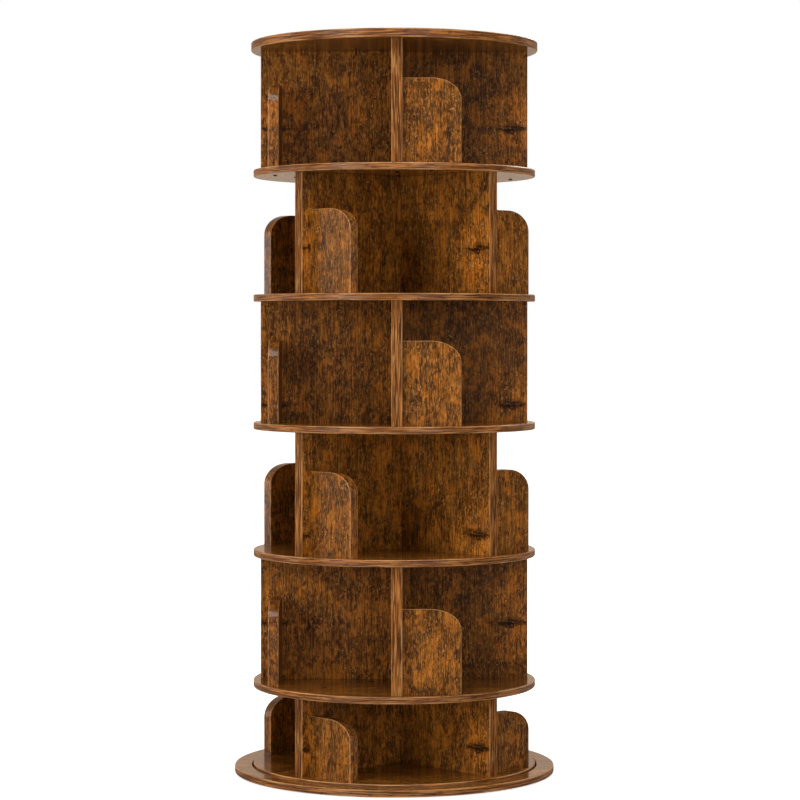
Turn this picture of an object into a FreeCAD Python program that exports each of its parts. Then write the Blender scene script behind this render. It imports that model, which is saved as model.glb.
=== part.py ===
import FreeCAD, Part
import math
import os
import re
import Sketcher

# A six-tier revolving bookcase: a round tower of shelves turns on a ball bearing that is let into a wide, low
# base ring. In every tier four upright panels stand like the sails of a windmill, each panel carries a low
# book stop near its tip, and each tier is turned by half a quarter against the next one.
# Millimetres. The axis of the tower is Z, the floor is z = 0 and the front is -Y.

SIZES = {
    # round boards
    "shelf_diameter": 486,
    "shelf_thickness": 12,
    "top_overhang": 4,
    "top_thickness": 15,
    "rim_round": 2,
    # base
    "ring_gap": 2,
    "ring_width": 30,
    "ring_thickness": 12,
    "shelf_reveal": 3.5,
    "plate_thickness": 2,
    "plate_seat_width": 20,
    "plate_clearance": 0.3,
    "foot_height": 2,
    "foot_diameter": 30,
    "foot_count": 8,
    "foot_inset": 12,
    # tiers, counted from the top
    "tier_1_height": 204.5,
    "tier_2_height": 202.5,
    "tier_3_height": 207.5,
    "tier_4_height": 206,
    "tier_5_height": 212.5,
    "tier_6_height": 131,
    "tier_turn": 45,
    "panel_thickness": 18,
    "panel_setback": 13,
    "panel_round": 1.2,
    "stop_setback": 19,
    "stop_reach": 97,
    "stop_height": 141,
    "low_stop_height": 100,
    "stop_corner_drop": 35,
    "stop_corner_stretch": 15,
    # wood screws and dowels of the tower
    "hole_clearance": 0.1,
    "tip_room": 0.8,
    "screw_diameter": 4,
    "screw_head_diameter": 8,
    "screw_length": 42,
    "inner_screw_reach": 60,
    "outer_screw_reach": 170,
    "stop_screw_reach": 48,
    "dowel_diameter": 8,
    "dowel_chamfer": 0.8,
    "panel_dowel_length": 30,
    "panel_dowel_seat": 10,
    "top_dowel_length": 28,
    "top_dowel_seat": 9,
    "stop_dowel_diameter": 6,
    "stop_dowel_length": 24,
    "stop_dowel_seat": 9,
    "stop_dowel_margin": 26,
    # turntable bearing
    "ball_circle_radius": 140,
    "ball_diameter": 4,
    "ball_count": 30,
    "ball_clearance": 0.05,
    "race_gap": 2,
    "race_width": 18,
    "race_height": 6,
    "race_lift": 1,
    "race_room": 1,
    "cage_thickness": 1.4,
    "cage_clearance": 0.1,
    # short screws of the base and the turntable
    "bolt_diameter": 4,
    "bolt_head_diameter": 7.4,
    "bolt_length": 7,
    "turntable_screw_length": 10,
    "bolt_count": 6,
    "ring_screw_count": 8,
}

TIERS = (1, 2, 3, 4, 5, 6)
LOW_TIER = 6
SAILS = ("a", "b", "c", "d")
QUARTER = 90
FULL_TURN = 360
X_AXIS = FreeCAD.Vector(1, 0, 0)
Y_AXIS = FreeCAD.Vector(0, 1, 0)
UP = FreeCAD.Vector(0, 0, 1)

doc = FreeCAD.newDocument("revolving_bookcase")
sheet = doc.addObject("Spreadsheet::Sheet", "sizes")
for row, (alias, number) in enumerate(SIZES.items(), 1):
    sheet.set(f"A{row}", alias)
    sheet.set(f"B{row}", str(number))
    sheet.setAlias(f"B{row}", alias)
doc.recompute()


# Working with the sheet, bodies and sketches


def bound(formula):
    """The formula with every size written as a cell of the sheet."""
    return re.sub(r"[a-z]\w*", lambda word: f"sizes.{word[0]}" if word[0] in SIZES else word[0], formula)


def size(formula):
    """The number that a formula of sizes gives."""
    return float(sheet.evalExpression(bound(formula)))


def new_body(label, level="0", angle=0):
    """A body whose own frame stands at a height on the tower's axis, turned about it by degrees."""
    body = doc.addObject("PartDesign::Body", label)
    body.Placement = FreeCAD.Placement(FreeCAD.Vector(), FreeCAD.Rotation(UP, angle))
    body.setExpression("Placement.Base.z", bound(level))
    return body


def origin_feature(body, role):
    return next(feature for feature in body.Origin.OriginFeatures if feature.Role == role)


def sketch_on(body, name, plane, offset=None):
    """An empty sketch on one of the body's planes, moved along the plane's normal."""
    sketch = body.newObject("Sketcher::SketchObject", name)
    sketch.AttachmentSupport = [(origin_feature(body, plane), "")]
    sketch.MapMode = "FlatFace"
    if offset:
        sketch.setExpression("AttachmentOffset.Base.z", bound(offset))
    return sketch


def tie(sketch, name, formula, kind, *places):
    """A dimension of the sketch that follows a formula."""
    index = sketch.addConstraint(Sketcher.Constraint(kind, *places, size(formula)))
    sketch.renameConstraint(index, name)
    sketch.setExpression(f"Constraints.{name}", bound(formula))


def place_point(sketch, name, geometry, point, across, along):
    """Holds a point at two distances from the sketch's origin, or on an axis where one is None."""
    if across is None:
        sketch.addConstraint(Sketcher.Constraint("PointOnObject", geometry, point, -2))
    else:
        tie(sketch, f"{name}_across", across, "DistanceX", -1, 1, geometry, point)
    if along is None:
        sketch.addConstraint(Sketcher.Constraint("PointOnObject", geometry, point, -1))
    else:
        tie(sketch, f"{name}_along", along, "DistanceY", -1, 1, geometry, point)


def add_circles(sketch, radius, spots):
    """A circle of one radius round each spot, given as a pair of formulas."""
    for number, (across, along) in enumerate(spots, 1):
        centre = FreeCAD.Vector(size(across or "0"), size(along or "0"), 0)
        circle = sketch.addGeometry(Part.Circle(centre, UP, size(radius)), False)
        tie(sketch, f"radius_{number}", radius, "Radius", circle)
        place_point(sketch, f"spot_{number}", circle, 3, across, along)


def add_feature(body, kind, name, sketch, **settings):
    """A feature made from a sketch. A setting given as text is a formula."""
    feature = body.newObject(f"PartDesign::{kind}", name)
    feature.Profile = sketch
    for setting, worth in settings.items():
        if isinstance(worth, str):
            feature.setExpression(setting, bound(worth))
        else:
            setattr(feature, setting, worth)
    doc.recompute()
    return feature


def disc(body, radius, thickness, inner=None):
    """A round board, or a ring where it has an inner radius."""
    sketch = sketch_on(body, "outline", "XY_Plane")
    for number, worth in enumerate(filter(None, (radius, inner)), 1):
        circle = sketch.addGeometry(Part.Circle(FreeCAD.Vector(), UP, size(worth)), False)
        sketch.addConstraint(Sketcher.Constraint("Coincident", circle, 3, -1, 1))
        tie(sketch, f"radius_{number}", worth, "Radius", circle)
    return add_feature(body, "Pad", "board", sketch, Length=thickness)


def round_edges(body, base, radius, chosen):
    """Rounds the edges of a feature that the test picks out."""
    names = [f"Edge{number}" for number, edge in enumerate(base.Shape.Edges, 1) if chosen(edge)]
    fillet = body.newObject("PartDesign::Fillet", "rounded_edges")
    fillet.Base = (base, names)
    fillet.setExpression("Radius", bound(radius))
    doc.recompute()
    return fillet


def is_rim(edge, radius):
    return isinstance(edge.Curve, Part.Circle) and abs(edge.Curve.Radius - size(radius)) < 1e-6


def bore(body, name, plane, offset, radius, depth, spots, along_normal):
    """Round holes of one size and depth, cut from a plane of the body."""
    sketch = sketch_on(body, f"{name}_spots", plane, offset)
    add_circles(sketch, radius, spots)
    before = body.Shape.Volume
    pocket = add_feature(body, "Pocket", name, sketch, Length=depth, Reversed=along_normal)
    if body.Shape.Volume >= before:
        raise RuntimeError(f"{body.Label}: {name} cuts nothing")
    return pocket


def countersunk(body, name, offset, shank, head, spots, from_below):
    """Through holes with a countersink for a flat screw head, cut from the top or the underside."""
    sketch = sketch_on(body, f"{name}_spots", "XY_Plane", offset)
    add_circles(sketch, f"{shank} / 2 + hole_clearance", spots)
    doc.recompute()
    before = body.Shape.Volume
    hole = add_feature(body, "Hole", name, sketch, Reversed=from_below, Threaded=False)
    hole.DepthType = "ThroughAll"
    hole.setExpression("Diameter", bound(f"{shank} + 2 * hole_clearance"))
    hole.HoleCutType = "Countersink"
    hole.HoleCutCustomValues = True
    hole.setExpression("HoleCutDiameter", bound(f"{head} + 2 * hole_clearance"))
    hole.HoleCutCountersinkAngle = QUARTER
    doc.recompute()
    if body.Shape.Volume >= before:
        raise RuntimeError(f"{body.Label}: {name} cuts nothing")
    return hole


def repeat_round(body, features, count):
    """Repeats features evenly round the body's axis."""
    pattern = body.newObject("PartDesign::PolarPattern", f"{features[0].Name}_round")
    pattern.Originals = features
    pattern.Axis = (origin_feature(body, "Z_Axis"), [""])
    pattern.Angle = FULL_TURN
    pattern.setExpression("Occurrences", bound(count))
    body.Tip = pattern
    doc.recompute()
    return pattern


# Heights of the boards above the floor, and radii that several pieces share

PLATE_TOP = "foot_height + plate_thickness"
BOTTOM_SHELF_TOP = "foot_height + ring_thickness + shelf_reveal"
BOTTOM_SHELF_LEVEL = f"{BOTTOM_SHELF_TOP} - shelf_thickness"
RING_HOLE_RADIUS = "shelf_diameter / 2 + ring_gap"
PLATE_RADIUS = f"{RING_HOLE_RADIUS} + plate_seat_width"
RING_SCREW_RADIUS = f"{RING_HOLE_RADIUS} + plate_seat_width / 2"
OUTER_RACE_RADIUS = "ball_circle_radius + race_gap / 2"
INNER_RACE_RADIUS = "ball_circle_radius - race_gap / 2"
INNER_RACE_LEVEL = f"{PLATE_TOP} + race_lift"
BALL_LEVEL = f"{PLATE_TOP} + (race_height + race_lift) / 2"

floor_of = {LOW_TIER: BOTTOM_SHELF_TOP}
ceiling_of = {}
for tier in reversed(TIERS):
    ceiling_of[tier] = f"{floor_of[tier]} + tier_{tier}_height"
    floor_of[tier - 1] = f"{ceiling_of[tier]} + shelf_thickness"

PANEL_REACH = "shelf_diameter / 2 - panel_setback"
PANEL_MIDDLE = "panel_thickness / 2"
STOP_INNER_FACE = f"{PANEL_REACH} - stop_setback - panel_thickness"
STOP_MIDDLE = f"{STOP_INNER_FACE} + panel_thickness / 2"
STOP_CORNER_REACH = "stop_corner_drop + stop_corner_stretch"

PANEL_SCREW_SPOTS = [("inner_screw_reach", PANEL_MIDDLE), ("outer_screw_reach", PANEL_MIDDLE)]
STOP_SCREW_SPOT = (STOP_MIDDLE, "panel_thickness + stop_screw_reach")
SCREW_PILOT_RADIUS = "screw_diameter / 2 + hole_clearance"
SCREW_PILOT_DEPTH = "screw_length - shelf_thickness + tip_room"
DOWEL_HOLE_RADIUS = "dowel_diameter / 2 + hole_clearance"
STOP_DOWEL_HOLE_RADIUS = "stop_dowel_diameter / 2 + hole_clearance"
BOLT_HOLE_RADIUS = "bolt_diameter / 2 + hole_clearance"


def tier_angle(tier):
    """Every second tier is turned against its neighbours."""
    return size("tier_turn") if tier % 2 == 0 else 0


def stop_height(tier):
    return "low_stop_height" if tier == LOW_TIER else "stop_height"


def turned(spot, angle):
    """A spot, turned about the axis by an angle given as a formula in degrees."""
    across, along = spot
    cosine, sine = f"cos(({angle}) * 1 deg)", f"sin(({angle}) * 1 deg)"
    return f"({across}) * {cosine} - ({along}) * {sine}", f"({across}) * {sine} + ({along}) * {cosine}"


# Round boards


def base_ring():
    """The low ring on the floor, with a seat for the base plate cut into its underside."""
    body = new_body("base_ring", "foot_height")
    rim = f"{RING_HOLE_RADIUS} + ring_width"
    board = disc(body, rim, "ring_thickness", RING_HOLE_RADIUS)
    top = size("ring_thickness")

    def worn(edge):
        on_top = edge.CenterOfMass.z > top - 1e-6
        return is_rim(edge, rim) or (on_top and is_rim(edge, RING_HOLE_RADIUS))

    round_edges(body, board, "rim_round", worn)
    seat = sketch_on(body, "seat_outline", "XY_Plane")
    add_circles(seat, f"{PLATE_RADIUS} + plate_clearance", [(None, None)])
    add_feature(body, "Pocket", "plate_seat", seat, Length="plate_thickness", Reversed=True)
    depth = "bolt_length - plate_thickness + tip_room"
    spot = (RING_SCREW_RADIUS, None)
    pilot = bore(body, "pilot", "XY_Plane", "plate_thickness", BOLT_HOLE_RADIUS, depth, [spot], True)
    repeat_round(body, [pilot], "ring_screw_count")
    return body


def base_plate():
    """The steel plate that closes the ring from below and carries the bearing."""
    body = new_body("base_plate", "foot_height")
    disc(body, PLATE_RADIUS, "plate_thickness")
    for name, radius, count in (
        ("ring_hole", RING_SCREW_RADIUS, "ring_screw_count"),
        ("bearing_hole", f"{OUTER_RACE_RADIUS} + race_width / 2", "bolt_count"),
    ):
        hole = countersunk(body, name, None, "bolt_diameter", "bolt_head_diameter", [(radius, None)], True)
        repeat_round(body, [hole], count)
    return body


def bottom_shelf():
    """The lowest shelf of the tower, with a round channel underneath that takes in the bearing."""
    body = new_body("bottom_shelf", BOTTOM_SHELF_LEVEL, tier_angle(LOW_TIER))
    board = disc(body, "shelf_diameter / 2", "shelf_thickness")
    round_edges(body, board, "rim_round", lambda edge: is_rim(edge, "shelf_diameter / 2"))
    channel = sketch_on(body, "channel_outline", "XY_Plane")
    add_circles(channel, f"{OUTER_RACE_RADIUS} + race_width + race_room", [(None, None)])
    inner_radius = f"{INNER_RACE_RADIUS} - race_width - race_room"
    inner = channel.addGeometry(Part.Circle(FreeCAD.Vector(), UP, size(inner_radius)), False)
    channel.addConstraint(Sketcher.Constraint("Coincident", inner, 3, -1, 1))
    tie(channel, "inner_radius", inner_radius, "Radius", inner)
    ceiling = f"{INNER_RACE_LEVEL} + race_height - ({BOTTOM_SHELF_LEVEL})"
    add_feature(body, "Pocket", "bearing_channel", channel, Length=ceiling, Reversed=True)
    depth = "turntable_screw_length - race_height + tip_room"
    spot = (f"{INNER_RACE_RADIUS} - race_width / 2", None)
    pilot = bore(body, "pilot", "XY_Plane", ceiling, BOLT_HOLE_RADIUS, depth, [spot], True)
    repeat_round(body, [pilot], "bolt_count")
    spots = PANEL_SCREW_SPOTS + [STOP_SCREW_SPOT]
    hole = countersunk(body, "screw_hole", None, "screw_diameter", "screw_head_diameter", spots, True)
    repeat_round(body, [hole], str(len(SAILS)))
    return body


def middle_shelf(tier):
    """The shelf under a tier. Screws rise from it into that tier, and others go down into the tier below."""
    body = new_body(f"shelf_{tier}", ceiling_of[tier + 1], tier_angle(tier))
    board = disc(body, "shelf_diameter / 2", "shelf_thickness")
    round_edges(body, board, "rim_round", lambda edge: is_rim(edge, "shelf_diameter / 2"))
    spots = PANEL_SCREW_SPOTS + [STOP_SCREW_SPOT]
    head = "screw_head_diameter"
    rising = countersunk(body, "rising_hole", None, "screw_diameter", head, spots, True)
    turn = "tier_turn" if tier % 2 else f"{QUARTER} - tier_turn"
    spots = [turned(spot, turn) for spot in PANEL_SCREW_SPOTS]
    falling = countersunk(body, "falling_hole", "shelf_thickness", "screw_diameter", head, spots, False)
    repeat_round(body, [rising, falling], str(len(SAILS)))
    return body


def top_board():
    """The thicker cover board, held from below by blind dowels."""
    body = new_body("top_board", ceiling_of[1], tier_angle(1))
    rim = "shelf_diameter / 2 + top_overhang"
    board = disc(body, rim, "top_thickness")
    round_edges(body, board, "rim_round", lambda edge: is_rim(edge, rim))
    depth = "top_dowel_seat + hole_clearance"
    hole = bore(body, "dowel_hole", "XY_Plane", None, DOWEL_HOLE_RADIUS, depth, PANEL_SCREW_SPOTS, True)
    repeat_round(body, [hole], str(len(SAILS)))
    return body


# Upright boards, each in the frame of its tier with the panel along X


def butt_dowel_height(tier, sail):
    """Neighbouring butt joints have their dowels at different heights, so that the holes never meet."""
    share = "1 / 3" if SAILS.index(sail) % 2 == 0 else "2 / 3"
    return f"tier_{tier}_height * {share}"


def panel(tier, sail):
    """An upright panel. Its inner end butts on the next panel's face, and shelves hold it above and below."""
    number = SAILS.index(sail)
    height = f"tier_{tier}_height"
    body = new_body(f"tier_{tier}_panel_{sail}", floor_of[tier], tier_angle(tier) + QUARTER * number)
    sketch = sketch_on(body, "outline", "XY_Plane")
    corners = [(0, 0), (size(PANEL_REACH), 0), (size(PANEL_REACH), size("panel_thickness"))]
    corners.append((0, size("panel_thickness")))
    points = [FreeCAD.Vector(x, y, 0) for x, y in corners]
    for start, end in zip(points, points[1:] + points[:1]):
        sketch.addGeometry(Part.LineSegment(start, end), False)
    for line in range(len(points)):
        sketch.addConstraint(Sketcher.Constraint("Coincident", line, 2, (line + 1) % len(points), 1))
        sketch.addConstraint(Sketcher.Constraint("Vertical" if line % 2 else "Horizontal", line))
    sketch.addConstraint(Sketcher.Constraint("Coincident", 0, 1, -1, 1))
    place_point(sketch, "tip", 1, 2, PANEL_REACH, "panel_thickness")
    board = add_feature(body, "Pad", "board", sketch, Length=height)
    reach = size(PANEL_REACH)
    round_edges(
        body,
        board,
        "panel_round",
        lambda edge: edge.BoundBox.ZLength > 1 and abs(edge.CenterOfMass.x - reach) < 1e-6,
    )
    pilots = (SCREW_PILOT_RADIUS, SCREW_PILOT_DEPTH, PANEL_SCREW_SPOTS)
    bore(body, "lower_pilot", "XY_Plane", None, *pilots, True)
    if tier == TIERS[0]:
        depth = "top_dowel_length - top_dowel_seat + tip_room"
        bore(body, "top_dowel_hole", "XY_Plane", height, DOWEL_HOLE_RADIUS, depth, PANEL_SCREW_SPOTS, False)
    else:
        bore(body, "upper_pilot", "XY_Plane", height, *pilots, False)
    own = (PANEL_MIDDLE, butt_dowel_height(tier, sail))
    depth = "panel_dowel_length - panel_dowel_seat + tip_room"
    bore(body, "end_dowel_hole", "YZ_Plane", None, DOWEL_HOLE_RADIUS, depth, [own], True)
    before = SAILS[number - 1]
    neighbour = (PANEL_MIDDLE, butt_dowel_height(tier, before))
    depth = "panel_dowel_seat + hole_clearance"
    bore(body, "face_dowel_hole", "XZ_Plane", None, DOWEL_HOLE_RADIUS, depth, [neighbour], False)
    spots = [(STOP_MIDDLE, "stop_dowel_margin"), (STOP_MIDDLE, f"{stop_height(tier)} - stop_dowel_margin")]
    depth = "stop_dowel_seat + hole_clearance"
    bore(body, "stop_dowel_hole", "XZ_Plane", "-panel_thickness", STOP_DOWEL_HOLE_RADIUS, depth, spots, True)
    return body


def book_stop(label, height):
    """A low board across the open side of a compartment, with one upper corner rounded to a quarter oval."""
    body = new_body(label)
    sketch = sketch_on(body, "outline", "YZ_Plane", STOP_INNER_FACE)
    near, far, top = size("panel_thickness"), size("panel_thickness + stop_reach"), size(height)
    drop, reach = size("stop_corner_drop"), size(STOP_CORNER_REACH)
    points = [(near, 0), (far, 0), (far, top - drop), (far - reach, top), (near, top)]
    foot, end, bend, crown, heel = (FreeCAD.Vector(y, z, 0) for y, z in points)
    oval = Part.Ellipse(FreeCAD.Vector(far - reach, top - drop, 0), reach, drop)
    outline = (
        Part.LineSegment(foot, end),
        Part.LineSegment(end, bend),
        Part.ArcOfEllipse(oval, 0, math.pi / 2),
        Part.LineSegment(crown, heel),
        Part.LineSegment(heel, foot),
    )
    base, side, corner, crest, back = (sketch.addGeometry(piece, False) for piece in outline)
    for first, second in ((base, side), (side, corner), (corner, crest), (crest, back), (back, base)):
        sketch.addConstraint(Sketcher.Constraint("Coincident", first, 2, second, 1))
    for level, upright in ((base, side), (crest, back)):
        sketch.addConstraint(Sketcher.Constraint("Horizontal", level))
        sketch.addConstraint(Sketcher.Constraint("Vertical", upright))
    # The oval's long axis lies level. The arc runs from its end to the end of the short axis.
    long_axis = sketch.GeometryCount
    sketch.exposeInternalGeometry(corner)
    sketch.addConstraint(Sketcher.Constraint("Horizontal", long_axis))
    sketch.addConstraint(Sketcher.Constraint("Horizontal", corner, 3, corner, 1))
    sketch.addConstraint(Sketcher.Constraint("Vertical", corner, 3, corner, 2))
    tie(sketch, "corner_reach", STOP_CORNER_REACH, "DistanceX", corner, 3, corner, 1)
    tie(sketch, "corner_drop", "stop_corner_drop", "DistanceY", corner, 3, corner, 2)
    place_point(sketch, "foot", base, 1, "panel_thickness", None)
    tie(sketch, "reach", "stop_reach", "DistanceX", base, 1, base, 2)
    tie(sketch, "height", height, "DistanceY", back, 2, back, 1)
    board = add_feature(body, "Pad", "board", sketch, Length="panel_thickness")

    def free(edge):
        middle = edge.CenterOfMass
        return edge.BoundBox.XLength < 1e-6 and middle.z > 1e-6 and middle.y > near + 1e-6

    round_edges(body, board, "panel_round", free)
    bore(body, "pilot", "XY_Plane", None, SCREW_PILOT_RADIUS, SCREW_PILOT_DEPTH, [STOP_SCREW_SPOT], True)
    spots = [(STOP_MIDDLE, "stop_dowel_margin"), (STOP_MIDDLE, f"{height} - stop_dowel_margin")]
    depth = "stop_dowel_length - stop_dowel_seat + tip_room"
    bore(body, "dowel_hole", "XZ_Plane", "-panel_thickness", STOP_DOWEL_HOLE_RADIUS, depth, spots, False)
    return body


# Turntable bearing


def race(label, level, angle, inner, outer, ball_height):
    """A flat ring with a round ball track in the wall that faces the other ring."""
    body = new_body(label, level, angle)
    disc(body, outer, "race_height", inner)
    track = sketch_on(body, "track_section", "XZ_Plane")
    add_circles(track, "ball_diameter / 2 + ball_clearance", [("ball_circle_radius", ball_height)])
    before = body.Shape.Volume
    add_feature(body, "Groove", "ball_track", track, ReferenceAxis=(track, ["V_Axis"]), Angle=FULL_TURN)
    if body.Shape.Volume >= before:
        raise RuntimeError(f"{label}: the track cuts nothing")
    return body


def bearing_outer_ring():
    """The fixed ring, screwed to the base plate from below."""
    ball_height = f"{BALL_LEVEL} - ({PLATE_TOP})"
    outer = f"{OUTER_RACE_RADIUS} + race_width"
    body = race("bearing_outer_ring", PLATE_TOP, 0, OUTER_RACE_RADIUS, outer, ball_height)
    spot = (f"{OUTER_RACE_RADIUS} + race_width / 2", None)
    hole = bore(body, "bolt_hole", "XY_Plane", None, BOLT_HOLE_RADIUS, "race_height", [spot], True)
    repeat_round(body, [hole], "bolt_count")
    return body


def bearing_inner_ring():
    """The turning ring, screwed into the channel of the bottom shelf."""
    ball_height = f"{BALL_LEVEL} - ({INNER_RACE_LEVEL})"
    inner = f"{INNER_RACE_RADIUS} - race_width"
    angle = tier_angle(LOW_TIER)
    body = race("bearing_inner_ring", INNER_RACE_LEVEL, angle, inner, INNER_RACE_RADIUS, ball_height)
    spot = (f"{INNER_RACE_RADIUS} - race_width / 2", None)
    hole = countersunk(body, "screw_hole", None, "bolt_diameter", "bolt_head_diameter", [spot], True)
    repeat_round(body, [hole], "bolt_count")
    return body


def bearing_cage():
    """The thin band between the rings that keeps the balls apart."""
    body = new_body("bearing_cage", f"{BALL_LEVEL} - race_height / 2")
    inner = "ball_circle_radius - cage_thickness / 2"
    disc(body, "ball_circle_radius + cage_thickness / 2", "race_height", inner)
    radius = "ball_diameter / 2 + cage_clearance"
    depth = "ball_circle_radius + cage_thickness"
    pocket = bore(body, "ball_pocket", "YZ_Plane", None, radius, depth, [(None, "race_height / 2")], True)
    repeat_round(body, [pocket], "ball_count")
    return body


# Groups of like pieces


def group(label, shape, places):
    """Copies of one solid, as one node of separate solids."""
    copies = []
    for place in places:
        copy = shape.copy()
        copy.Placement = place.multiply(shape.Placement)
        copies.append(copy)
    feature = doc.addObject("Part::Feature", label)
    feature.Shape = Part.makeCompound(copies)
    return feature


def around(angle, place):
    """A place, turned about the tower's axis by degrees."""
    return FreeCAD.Placement(FreeCAD.Vector(), FreeCAD.Rotation(UP, angle)).multiply(place)


def at(x, y, z, axis=UP, angle=0):
    return FreeCAD.Placement(FreeCAD.Vector(x, y, z), FreeCAD.Rotation(axis, angle))


def ring_of(count, x, y, z, start=0, axis=UP, angle=0):
    """Places evenly round the tower's axis, the first one turned by a start angle."""
    number = round(size(count))
    return [around(start + FULL_TURN * step / number, at(x, y, z, axis, angle)) for step in range(number)]


def spun(*profile):
    """A solid of revolution about Z from points given as radius and height."""
    points = [FreeCAD.Vector(radius, 0, height) for radius, height in profile]
    face = Part.Face(Part.makePolygon(points + points[:1]))
    return face.revolve(FreeCAD.Vector(), UP, FULL_TURN)


def flat_head_screw(diameter, head, length):
    """A countersunk screw along Z, with its head at the origin and its point upwards."""
    shank, top = size(diameter) / 2, size(head) / 2
    end = size(length)
    return spun((0, 0), (top, 0), (shank, top - shank), (shank, end - shank), (shank / 4, end), (0, end))


def dowel(diameter, length):
    """A wooden dowel along Z with chamfered ends."""
    radius, end, bevel = size(diameter) / 2, size(length), size("dowel_chamfer")
    return spun(
        (0, 0), (radius - bevel, 0), (radius, bevel), (radius, end - bevel), (radius - bevel, end), (0, end)
    )


def spot_numbers(spot):
    across, along = spot
    return size(across), size(along)


def sails_of(tier):
    """The angles of a tier's panels."""
    return [tier_angle(tier) + QUARTER * number for number in range(len(SAILS))]


def stop_groups():
    """Four book stops for each tier, one on every panel."""
    masters = {
        height: book_stop(f"{height}_master", height).Shape for height in ("stop_height", "low_stop_height")
    }
    groups = []
    for tier in TIERS:
        level = size(floor_of[tier])
        places = [around(angle, at(0, 0, level)) for angle in sails_of(tier)]
        groups.append(group(f"tier_{tier}_book_stops", masters[stop_height(tier)], places))
    return groups


def wood_screw_groups():
    """The long screws: up into panels and stops, and down into the panels of the tier below."""
    screw = flat_head_screw("screw_diameter", "screw_head_diameter", "screw_length")
    rising, stops, falling = [], [], []
    for tier in TIERS:
        underside = size(f"{floor_of[tier]} - shelf_thickness")
        for angle in sails_of(tier):
            for x, y in map(spot_numbers, PANEL_SCREW_SPOTS):
                rising.append(around(angle, at(x, y, underside)))
                if tier != TIERS[0]:
                    above = size(f"{ceiling_of[tier]} + shelf_thickness")
                    falling.append(around(angle, at(x, y, above, X_AXIS, 2 * QUARTER)))
            stops.append(around(angle, at(*spot_numbers(STOP_SCREW_SPOT), underside)))
    return [
        group("panel_screws", screw, rising),
        group("stop_screws", screw, stops),
        group("shelf_screws", screw, falling),
    ]


def dowel_groups():
    """The dowels in the butt joints, between stops and panels, and under the top board."""
    butt, stops, top = [], [], []
    for tier in TIERS:
        level = size(floor_of[tier])
        heights = (size("stop_dowel_margin"), size(f"{stop_height(tier)} - stop_dowel_margin"))
        for sail, angle in zip(SAILS, sails_of(tier)):
            height = level + size(butt_dowel_height(tier, sail))
            start = at(-size("panel_dowel_seat"), size(PANEL_MIDDLE), height, Y_AXIS, QUARTER)
            butt.append(around(angle, start))
            for height in heights:
                depth = size("panel_thickness - stop_dowel_seat")
                start = at(size(STOP_MIDDLE), depth, level + height, X_AXIS, -QUARTER)
                stops.append(around(angle, start))
    under_top = size(f"{ceiling_of[1]} + top_dowel_seat - top_dowel_length")
    for angle in sails_of(TIERS[0]):
        for x, y in map(spot_numbers, PANEL_SCREW_SPOTS):
            top.append(around(angle, at(x, y, under_top)))
    return [
        group("panel_dowels", dowel("dowel_diameter", "panel_dowel_length"), butt),
        group("stop_dowels", dowel("stop_dowel_diameter", "stop_dowel_length"), stops),
        group("top_board_dowels", dowel("dowel_diameter", "top_dowel_length"), top),
    ]


def base_groups():
    """Feet, short screws and bearing balls."""
    half_step = FULL_TURN / 2 / size("foot_count")
    foot = Part.makeCylinder(size("foot_diameter / 2"), size("foot_height"))
    foot_radius = size(f"{PLATE_RADIUS} - foot_inset - foot_diameter / 2")
    bolt = flat_head_screw("bolt_diameter", "bolt_head_diameter", "bolt_length")
    under = size("foot_height")
    bolts = ring_of("ring_screw_count", size(RING_SCREW_RADIUS), 0, under)
    bolts += ring_of("bolt_count", size(f"{OUTER_RACE_RADIUS} + race_width / 2"), 0, under)
    long_bolt = flat_head_screw("bolt_diameter", "bolt_head_diameter", "turntable_screw_length")
    race_spot = size(f"{INNER_RACE_RADIUS} - race_width / 2")
    race_bolts = ring_of("bolt_count", race_spot, 0, size(INNER_RACE_LEVEL), tier_angle(LOW_TIER))
    ball = Part.makeSphere(size("ball_diameter / 2"))
    return [
        group("foot_pads", foot, ring_of("foot_count", foot_radius, 0, 0, half_step)),
        group("base_screws", bolt, bolts),
        group("turntable_screws", long_bolt, race_bolts),
        group("bearing_balls", ball, ring_of("ball_count", size("ball_circle_radius"), 0, size(BALL_LEVEL))),
    ]


pieces = [base_ring(), base_plate(), bearing_outer_ring(), bearing_cage(), bearing_inner_ring()]
pieces.append(bottom_shelf())
pieces += [middle_shelf(tier) for tier in TIERS if tier != LOW_TIER]
pieces.append(top_board())
pieces += [panel(tier, sail) for tier in TIERS for sail in SAILS]
pieces += stop_groups() + wood_screw_groups() + dowel_groups() + base_groups()
doc.recompute()

for thing in doc.Objects:
    if "Invalid" in thing.State or "Error" in thing.State:
        raise RuntimeError(f"{thing.Label} failed: {thing.State}")
for piece in pieces:
    if piece.Shape.isNull() or not piece.Shape.isValid():
        raise RuntimeError(f"{piece.Label} has no valid shape")

os.makedirs("parts", exist_ok=True)
for piece in pieces:
    piece.Shape.exportStep(f"parts/{piece.Label}.step")
print(len(pieces), "pieces,", sum(len(piece.Shape.Solids) for piece in pieces), "solids")
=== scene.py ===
import math

import bmesh
import bpy
from mathutils import Matrix, Vector


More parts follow.
